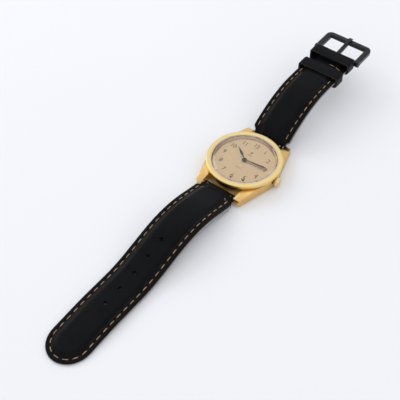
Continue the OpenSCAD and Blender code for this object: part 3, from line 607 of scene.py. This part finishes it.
class Strap:
    """The run of one strap: its underside, its thickness and its outline from above."""

    def __init__(self, number, side, lift, far_end, end_t, taper_share, round_tip):
        self.number = number
        self.side = side
        self.far_end = far_end
        self.end_t = end_t
        self.taper_share = taper_share
        self.round_tip = round_tip
        self.upper = cad[f"strap_{number}_upper"]
        self.lining = cad[f"strap_{number}_lining"]
        ahead = Vector((math.cos(math.radians(lift)), math.sin(math.radians(lift))))
        self.start_normal = Vector((-ahead.y, ahead.x))
        bar = Vector((bar_y, bar_z))
        start = bar - fold_r * self.start_normal
        stations = self.stations(start.x)
        line = [Vector((y, self.underside(y))) for y in stations]
        line[0] = start
        for _ in range(8):
            line = [line[0], *[(a + 2 * b + c) / 4 for a, b, c in zip(line, line[1:], line[2:])], line[-1]]
        self.line = [Vector((y, p.y)) for y, p in zip(stations, line)]
        self.run = [0.0]
        for a, b in zip(self.line, self.line[1:]):
            self.run.append(self.run[-1] + (b - a).length)
        self.rows = [self.nose_row(math.radians(a), bar, ahead) for a in range(0, 84, 7)]
        self.first_row = len(self.rows)
        self.rows += [self.body_row(k) for k in range(len(self.line))]
        if not round_tip:
            self.rows += [self.fold_row(math.radians(a)) for a in range(84, -7, -7)]
        self.outline = self.felt_outline()

    def felt_outline(self):
        """Close points along both edges, to measure distances from the edge."""
        straight_end = self.far_end - tip_l if self.round_tip else self.far_end + 4
        steps = round((straight_end - bar_y + 4) / 0.05)
        even = [bar_y - 4 + (straight_end - bar_y + 4) * k / steps for k in range(steps + 1)]
        edge = [(self.half_width(y), y) for y in even]
        if self.round_tip:
            turns = [math.pi / 2 * k / 300 for k in range(301)]
            edge += [(strap_half * math.cos(a), straight_end + tip_l * math.sin(a)) for a in turns]
        outline = kdtree.KDTree(2 * len(edge))
        for k, (x, y) in enumerate(edge):
            outline.insert((x, y, 0), 2 * k)
            outline.insert((-x, y, 0), 2 * k + 1)
        outline.balance()
        return outline

    def stations(self, start):
        """Distances from the middle of the watch at which the strap is felt out."""
        end = self.far_end - tip_l if self.round_tip else buckle_y
        count = round((end - start) / row_step)
        even = [start + (end - start) * k / count for k in range(count + 1)]
        if not self.round_tip:
            return even
        tip_rows = 34
        return even + [end + tip_l * math.sin(math.pi / 2 * k / tip_rows) for k in range(1, tip_rows + 1)]

    def underside(self, y):
        """Height of the strap's underside, felt from below beside the buckle holes."""
        reach = min(y, self.far_end - 0.9)
        start = Vector((feel_x * mm, self.side * reach * mm, feel_z * mm))
        for node in (self.lining, self.upper):
            hit, place, _, _ = node.ray_cast(start, Vector((0, 0, 1)))
            if hit:
                return place.z / mm
        return buckle_bar_z - buckle_fold_r

    def thickness(self, run):
        share = run / self.run[-1]
        taper = lug_t + (self.end_t - lug_t) * min(1, share / self.taper_share)
        rise = 1 - min(1, share / nose_share)
        return taper * (1 - nose * rise * rise)

    def nose_row(self, turn, bar, ahead):
        middle = bar - fold_r * math.cos(turn) * ahead
        reach = fold_r * max(0.02, math.sin(turn))
        return middle - reach * self.start_normal, self.start_normal, 2 * reach

    def body_row(self, k):
        ahead = self.line[min(k + 2, len(self.line) - 1)] - self.line[max(k - 2, 0)]
        normal = Vector((-ahead.y, ahead.x)).normalized()
        if k < 4:
            normal = normal.lerp(self.start_normal, 1 - k / 4).normalized()
        return self.line[k], normal, self.thickness(self.run[k])

    def fold_row(self, turn):
        reach = buckle_fold_r * max(0.02, math.sin(turn))
        y = buckle_y + buckle_fold_r * math.cos(turn)
        return Vector((y, buckle_bar_z - reach)), Vector((0, 1)), 2 * reach

    def half_width(self, y):
        share = min(1, max(0, (y - neck_end) / shoulder_l))
        half = neck_half + (strap_half - neck_half) * (1 - math.cos(math.pi * share)) / 2
        if self.round_tip:
            beyond = max(0, y - (self.far_end - tip_l)) / tip_l
            return half * math.sqrt(max(0, 1 - beyond ** 2))
        return half - (strap_half - end_half) * min(1, max(0, (y - self.far_end + 2.2) / 1.6))

    def point(self, row, x, height):
        """A place in the row frame, from a height over the underside in mm."""
        base, normal, _ = self.rows[row]
        place = base + normal * height
        return Vector((x, self.side * place.x, place.y)) * mm

    def from_edge(self, row, x):
        """Distance to the outline seen from above, in mm."""
        return self.outline.find((x, self.rows[row][0].x, 0))[2]


def ease(share):
    share = min(1, max(0, share))
    return (1 - math.cos(math.pi * share)) / 2


def upper_height(strap, row, x):
    """Top of the upper over the underside: edge, groove, slope and crowned middle."""
    t = strap.rows[row][2]
    y = strap.rows[row][0].x
    off = strap.from_edge(row, x)
    tip_off = strap.far_end - y if not strap.round_tip else off
    rise = min(pad_rise, 0.42 * t) * (1 if strap.round_tip else ease((tip_off - 1) / 6))
    if row < strap.first_row:
        rise *= ease(row / strap.first_row)
    margin = t - rise
    rounding = min(0.45, 0.2 * t)
    corner = rounding * (1 - math.sqrt(max(0, 1 - (1 - min(1, off / rounding)) ** 2)))
    groove = 0.1 * math.exp(-((off - stitch_inset) / 0.35) ** 2) * (rise / pad_rise)
    slope = ease((off - pad_edge) / pad_slope)
    crown = 0.3 * (1 - (x / strap_half) ** 2) * slope * min(1, t / lug_t) * (rise / pad_rise)
    dents = 0
    if strap.round_tip:
        for k, depth in enumerate((0.05, 0.14, 0.2, 0.1, 0.05)):
            gap = y - (first_hole + k * hole_pitch)
            dents += depth * math.exp(-(gap / 1.1) ** 2) * slope
    return margin - corner - groove + rise * slope + crown - 0.15 * slope - dents


edge_offsets = [0, 0.06, 0.14, 0.26, 0.42, 0.7, 1.0, 1.35, 1.6, 1.8, 1.95, 2.1, 2.3, 2.55, 2.85, 3.2,
                3.55, 3.9, 4.3, 4.75, 5.3, 6.0, 6.8, 7.7, 8.7, 9.4]
cross_places = ([-1 + off / strap_half for off in edge_offsets] + [0]
                + [1 - off / strap_half for off in edge_offsets[::-1]])


def strap_layer(name, strap, first, last, low_height, high_height, inset=0.0):
    """One layer of leather between two heights, laid along the strap's run."""

    def place(column, row, upper):
        at = first + row
        x = cross_places[column] * max(0.02, strap.half_width(strap.rows[at][0].x) - inset)
        height = high_height(strap, at, x) if upper else low_height(strap, at, x)
        return strap.point(at, x, height)

    return grid_slab(name, len(cross_places) - 1, last - first, place)


def upper_underside(strap, row, x):
    """The upper rests on the lining, and is whole where it is folded round a bar."""
    base, _, t = strap.rows[row]
    at_watch = row < strap.first_row + lining_start_rows
    at_buckle = not strap.round_tip and base.x >= strap.far_end
    return 0.0 if at_watch or at_buckle else lining_share * t


def lining_top(strap, row, x):
    return lining_share * strap.rows[row][2] - 0.02


def lining_low(strap, row, x):
    off = strap.from_edge(row, x)
    return 0.25 * (1 - math.sqrt(max(0, 1 - (1 - min(1, off / 0.4)) ** 2)))


def cut_with(piece, cutter, solver="EXACT"):
    apply_modifier(piece, "BOOLEAN", object=cutter, operation="DIFFERENCE", solver=solver)
    bpy.data.objects.remove(cutter)


def upright_drill(y, radius):
    bpy.ops.object.select_all(action="DESELECT")
    bpy.ops.mesh.primitive_cylinder_add(vertices=40, radius=radius * mm, depth=40 * mm,
                                        location=(0, y * mm, 0))
    return bpy.context.object


def bar_bore(y, z, radius):
    bpy.ops.object.select_all(action="DESELECT")
    bpy.ops.mesh.primitive_cylinder_add(vertices=32, radius=radius * mm, depth=40 * mm,
                                        location=(0, y * mm, z * mm), rotation=(0, math.pi / 2, 0))
    return bpy.context.object


strap_6 = Strap(6, -1, 6.1, 130.0, 2.0, 1.0, True)
strap_12 = Strap(12, 1, 34.4, 78.0, 3.0, 0.55, False)
for strap in (strap_6, strap_12):
    upper_piece = strap_layer(f"strap_{strap.number}_calf", strap, 0, len(strap.rows) - 1,
                              upper_underside, upper_height)
    last_lined = max(k for k, row in enumerate(strap.rows) if row[0].x <= strap.far_end)
    first_lined = strap.first_row + lining_start_rows
    lining_piece = strap_layer(f"strap_{strap.number}_lining_calf", strap, first_lined, last_lined,
                               lining_low, lining_top, 0.06)
    cut_with(upper_piece, bar_bore(strap.side * bar_y, bar_z, 0.8))
    if strap.round_tip:
        for k in range(hole_count):
            for layer in (upper_piece, lining_piece):
                cut_with(layer, upright_drill(strap.side * (first_hole + k * hole_pitch), hole_r))
    else:
        cut_with(upper_piece, bar_bore(buckle_y, buckle_bar_z, 0.62))
        bpy.ops.mesh.primitive_cube_add(size=1, location=(0, (buckle_y + 1) * mm, buckle_bar_z * mm),
                                        scale=(2.4 * mm, 5.2 * mm, 8 * mm))
        cut_with(upper_piece, bpy.context.object, "MANIFOLD")
    give_finish(upper_piece, black_calf)
    give_finish(lining_piece, lining_calf)
    smooth(upper_piece, 50)
    smooth(lining_piece, 50)
    finished(upper_piece, f"strap_{strap.number}", "strap_leather", f"strap_{strap.number}_upper")
    finished(lining_piece, f"strap_{strap.number}", "lining_leather", f"strap_{strap.number}_lining")

# ---------------------------------------------------------------- stitches
# Waxed linen thread, tan, in a lock stitch: the same row shows on top in
# the pressed edge and again on the lining. Each stitch dips at both ends.
stitch_l = 2.8
stitch_pitch = 4.15
thread_r = 0.2
stitch_start = 23.4

thread_finish = make_finish("tan_thread", (0.27, 0.13, 0.045), (0.50, 0.29, 0.12), (0.55, 0.7),
                            patch=(900, 900, 900), grain=(5000, 5000, 5000), relief=0.03,
                            Sheen_Weight=0.3)


def stitch_route(strap, stop):
    """The stitch line, seen from above, as points up one side and down the other."""
    side_points = []
    y = stitch_start
    straight_end = strap.far_end - tip_l if strap.round_tip else stop
    while y < straight_end:
        side_points.append((strap.half_width(y) - stitch_inset, y))
        y += 0.25
    if not strap.round_tip:
        return [side_points, [(-x, y) for x, y in side_points]]
    half = strap_half - stitch_inset
    reach = tip_l - stitch_inset
    bend = [(half * math.cos(math.radians(a)), straight_end + reach * math.sin(math.radians(a)))
            for a in range(0, 181, 2)]
    return [side_points + bend + [(-x, y) for x, y in side_points[::-1]]]


def row_at(strap, y):
    """Row number and share at a distance along the body of the strap."""
    row = strap.first_row
    while row < len(strap.rows) - 2 and strap.rows[row + 1][0].x < y:
        row += 1
    low, high = strap.rows[row][0].x, strap.rows[row + 1][0].x
    return row, min(1, max(0, (y - low) / (high - low)))


def on_strap(strap, x, y, lift, under):
    """A place on the strap's face: over its top, or below its lining."""
    row, share = row_at(strap, y)
    ends = []
    for at in (row, row + 1):
        height = -lift if under else upper_height(strap, at, x) + lift
        ends.append(strap.point(at, x, height))
    return ends[0].lerp(ends[1], share)


bpy.ops.object.select_all(action="DESELECT")
bpy.ops.mesh.primitive_cylinder_add(vertices=8, radius=1, depth=1, rotation=(math.pi / 2, 0, 0))
model_stitch = bpy.context.object
bpy.ops.object.transform_apply(location=True, rotation=True, scale=True)
bpy.ops.object.mode_set(mode="EDIT")
for k in range(5):
    bpy.ops.mesh.select_all(action="SELECT")
    bpy.ops.mesh.bisect(plane_co=(0, (k - 2) / 6, 0), plane_no=(0, 1, 0))
bpy.ops.object.mode_set(mode="OBJECT")


def stitch_row(name, strap, route, under):
    """Copies of the model stitch, set one after another along a route."""
    places = [on_strap(strap, x, y, 0, under) for x, y in route]
    run = [0.0]
    for a, b in zip(places, places[1:]):
        run.append(run[-1] + (b - a).length / mm)
    count = int((run[-1] + stitch_pitch - stitch_l) / stitch_pitch)
    lead = (run[-1] - count * stitch_pitch + (stitch_pitch - stitch_l)) / 2

    def along(distance):
        k = 0
        while k < len(run) - 2 and run[k + 1] < distance:
            k += 1
        share = (distance - run[k]) / (run[k + 1] - run[k])
        a, b = Vector(route[k]), Vector(route[k + 1])
        return a.lerp(b, share), (b - a).normalized()

    stitches = []
    for k in range(count):
        copy = model_stitch.copy()
        copy.data = model_stitch.data.copy()
        bpy.context.scene.collection.objects.link(copy)
        for point in copy.data.vertices:
            share = point.co.y * 2
            spot, ahead = along(lead + k * stitch_pitch + stitch_l * (0.5 + point.co.y))
            width = thread_r * math.sqrt(max(0.12, 1 - abs(share) ** 3))
            across = Vector((ahead.y, -ahead.x)) * point.co.x * width
            proud = 0.1 if under else 0.5
            lift = point.co.z * width * 0.85 + thread_r * (proud - 1.2 * abs(share) ** 3)
            point.co = on_strap(strap, spot.x + across.x, spot.y + across.y, lift, under)
        stitches.append(copy)
    joined = join_pieces(name, stitches)
    bpy.ops.object.mode_set(mode="EDIT")
    bpy.ops.mesh.select_all(action="SELECT")
    bpy.ops.mesh.normals_make_consistent(inside=False)
    bpy.ops.object.mode_set(mode="OBJECT")
    give_finish(joined, thread_finish)
    smooth(joined, 60)
    finished(joined, f"strap_{strap.number}", "strap_leather")


for strap, stop in ((strap_6, strap_6.far_end), (strap_12, 66.5)):
    for k, route in enumerate(stitch_route(strap, stop)):
        for under in (False, True):
            face = "under" if under else "top"
            stitch_row(f"strap_{strap.number}_{face}_stitches_{k + 1}", strap, route, under)
bpy.data.objects.remove(model_stitch)

# ----------------------------------------------------------------- keepers
# Two bands of folded calf. One is sewn in just behind the buckle and stands
# open over the strap, and the other slides. Their cut edges are left raw.
keeper_t = 1.0
keeper_corner = 1.6

raw_edge = make_finish("raw_calf_edge", (0.010, 0.010, 0.009), (0.028, 0.027, 0.022), (0.7, 0.85),
                       patch=(900, 900, 900), grain=(3500, 3500, 3500), relief=0.04,
                       Specular_IOR_Level=0.2)


def keeper_band(name, node, body):
    low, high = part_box(node)
    size = high - low
    middle = (low + high) / 2
    bpy.ops.object.select_all(action="DESELECT")
    bpy.ops.mesh.primitive_cube_add(size=1)
    piece = bpy.context.object
    piece.name = piece.data.name = name
    bpy.ops.object.mode_set(mode="EDIT")
    bpy.ops.mesh.select_all(action="SELECT")
    bpy.ops.transform.resize(value=(size.x - 0.24 * mm, size.y - 0.1 * mm, size.z - 0.24 * mm),
                             center_override=(0, 0, 0))
    bpy.ops.object.mode_set(mode="OBJECT")
    bpy.context.tool_settings.mesh_select_mode = (False, False, True)
    for face in piece.data.polygons:
        face.select = abs(face.normal.y) > 0.9
    bpy.ops.object.mode_set(mode="EDIT")
    bpy.ops.mesh.delete(type="ONLY_FACE")
    bpy.ops.object.mode_set(mode="OBJECT")
    bpy.context.tool_settings.mesh_select_mode = (False, True, False)
    bpy.ops.object.mode_set(mode="EDIT")
    bpy.ops.mesh.select_all(action="DESELECT")
    bpy.ops.object.mode_set(mode="OBJECT")
    for edge in piece.data.edges:
        a, b = (piece.data.vertices[v].co for v in edge.vertices)
        edge.select = abs(a.y - b.y) > 0.5 * size.y
    bpy.ops.object.mode_set(mode="EDIT")
    bpy.ops.mesh.bevel(offset=keeper_corner * mm, segments=8, affect="EDGES")
    for k in range(9):
        bpy.ops.mesh.select_all(action="SELECT")
        bpy.ops.mesh.bisect(plane_co=(0, (k - 4) / 10 * size.y, 0), plane_no=(0, 1, 0))
    for k in range(9):
        bpy.ops.mesh.select_all(action="SELECT")
        bpy.ops.mesh.bisect(plane_co=((k - 4) / 11 * size.x, 0, 0), plane_no=(1, 0, 0))
    bpy.ops.mesh.select_all(action="SELECT")
    bpy.ops.mesh.normals_make_consistent(inside=False)
    bpy.ops.object.mode_set(mode="OBJECT")
    for point in piece.data.vertices:
        share = 2 * point.co.y / size.y
        swell = 0.1 * mm * (1 - share ** 2)
        sag = 0.1 * mm * math.cos(point.co.x / size.x * math.pi) * (1 if point.co.z > 0 else 0)
        out = Vector((point.co.x / size.x, 0, point.co.z / size.z)).normalized()
        point.co += out * swell + Vector((0, 0, -sag)) + middle
    give_finish(piece, black_calf, raw_edge)
    apply_modifier(piece, "SOLIDIFY", thickness=keeper_t * mm, offset=-1, material_offset_rim=1)
    apply_modifier(piece, "BEVEL", width=0.22 * mm, segments=3, limit_method="ANGLE",
                   angle_limit=math.radians(50), material=-1)
    smooth(piece, 50)
    finished(piece, body, "strap_leather", node)
    return piece


keeper_band("fixed_keeper_band", "fixed_keeper", "strap_12")
keeper_band("free_keeper_band", "free_keeper", "free_keeper")

# Two short stitches across the strap hold the folded end between the keepers.
cross_y = 70.0
cross_stitch_l = 2.6
cross_stitch_x = (3.0, 6.4)


def cross_stitch(x):
    bpy.ops.object.select_all(action="DESELECT")
    bpy.ops.mesh.primitive_cylinder_add(vertices=10, radius=thread_r * mm, depth=cross_stitch_l * mm,
                                        rotation=(0, math.pi / 2, 0))
    stitch = bpy.context.object
    bpy.ops.object.transform_apply(location=True, rotation=True, scale=True)
    bpy.ops.object.mode_set(mode="EDIT")
    for k in range(5):
        bpy.ops.mesh.select_all(action="SELECT")
        bpy.ops.mesh.bisect(plane_co=((k - 2) * 0.45 * mm, 0, 0), plane_no=(1, 0, 0))
    bpy.ops.object.mode_set(mode="OBJECT")
    for point in stitch.data.vertices:
        share = abs(point.co.x) / (cross_stitch_l / 2 * mm)
        lift = point.co.z / mm - thread_r * (0.4 + 0.6 * share ** 3)
        point.co = on_strap(strap_12, x + point.co.x / mm, cross_y + point.co.y / mm, lift, False)
    return stitch


cross_piece = join_pieces("keeper_cross_stitches", [cross_stitch(x) for x in cross_stitch_x])
give_finish(cross_piece, thread_finish)
smooth(cross_piece, 60)
finished(cross_piece, "strap_12", "strap_leather")

# ------------------------------------------------------ buckle and tongue
# A cast buckle with rounded bars, blackened and polished. It and its tongue
# turn on a steel bar held in the fold at the strap's end.
black_metal = make_finish("black_coating", (0.003, 0.0035, 0.005), (0.007, 0.008, 0.011), (0.16, 0.26),
                          patch=(500, 500, 500), grain=(3500, 3500, 3500), relief=0.006,
                          Specular_IOR_Level=0.3)
frame_piece = rounded_copy("buckle_loop", "buckle_frame", 0.5 * mm, segments=4, angle=35)
give_finish(frame_piece, black_metal)
finished(frame_piece, "buckle", "buckle_black", "buckle_frame")
tongue_piece = rounded_copy("buckle_pin", "buckle_tongue", 0.3 * mm, segments=4, angle=35)
give_finish(tongue_piece, black_metal)
finished(tongue_piece, "tongue", "buckle_black", "buckle_tongue")
give_finish(cad["buckle_bar"], steel)

# ------------------------------------------------- floor, lights, camera
# A pale table under an even white light from all round, with a soft key
# lamp on the left, a weak lamp behind, and a small bulb that makes the
# glint on the glass.
floor_finish = make_finish("pale_table", (0.86, 0.87, 0.90), (0.87, 0.88, 0.91), (0.7, 0.8),
                           patch=(8, 8, 8), grain=(400, 400, 400), relief=0.02)
bpy.ops.object.select_all(action="DESELECT")
bpy.ops.mesh.primitive_grid_add(x_subdivisions=8, y_subdivisions=8, size=6, location=(0, 0, -0.02 * mm))
floor = bpy.context.object
floor.name = "pale_table"
give_finish(floor, floor_finish)

scene = bpy.context.scene
scene.view_settings.view_transform = "Standard"
world = bpy.data.worlds.new("studio")
world.use_nodes = True
world.node_tree.nodes["Background"].inputs["Color"].default_value = (0.975, 0.985, 1.0, 1)
world.node_tree.nodes["Background"].inputs["Strength"].default_value = 0.93
scene.world = world


def soft_light(name, place, size, power, aim=(0, 0, 0)):
    lamp = bpy.data.lights.new(name, "AREA")
    lamp.shape = "DISK"
    lamp.size = size
    lamp.energy = power
    light = bpy.data.objects.new(name, lamp)
    light.location = place
    light.rotation_mode = "QUATERNION"
    light.rotation_quaternion = (Vector(aim) - Vector(place)).to_track_quat("-Z", "Y")
    scene.collection.objects.link(light)


soft_light("key", (-0.9, 0.1, 0.65), 0.6, 2.2)
soft_light("rim", (0.35, 0.6, 0.75), 0.3, 0.4)
soft_light("bulb", (-0.335, 0.493, 1.046), 0.03, 0.08)

view_az = math.radians(37.72)
view_el = math.radians(48.93)
view_roll = math.radians(-0.55)
view_range = 0.4
aim_point = Vector((-4.79, -27.97, 0)) * mm
back = Vector((math.sin(view_az) * math.cos(view_el), -math.cos(view_az) * math.cos(view_el),
               math.sin(view_el)))
camera = bpy.data.objects.new("camera", bpy.data.cameras.new("camera"))
camera.data.sensor_width = 36
camera.data.lens = 78.81
camera.data.clip_start = 0.01
camera.location = aim_point + back * view_range
camera.rotation_mode = "QUATERNION"
camera.rotation_quaternion = ((-back).to_track_quat("-Z", "Y")
                              @ Quaternion((0, 0, 1), view_roll))
scene.collection.objects.link(camera)
scene.camera = camera
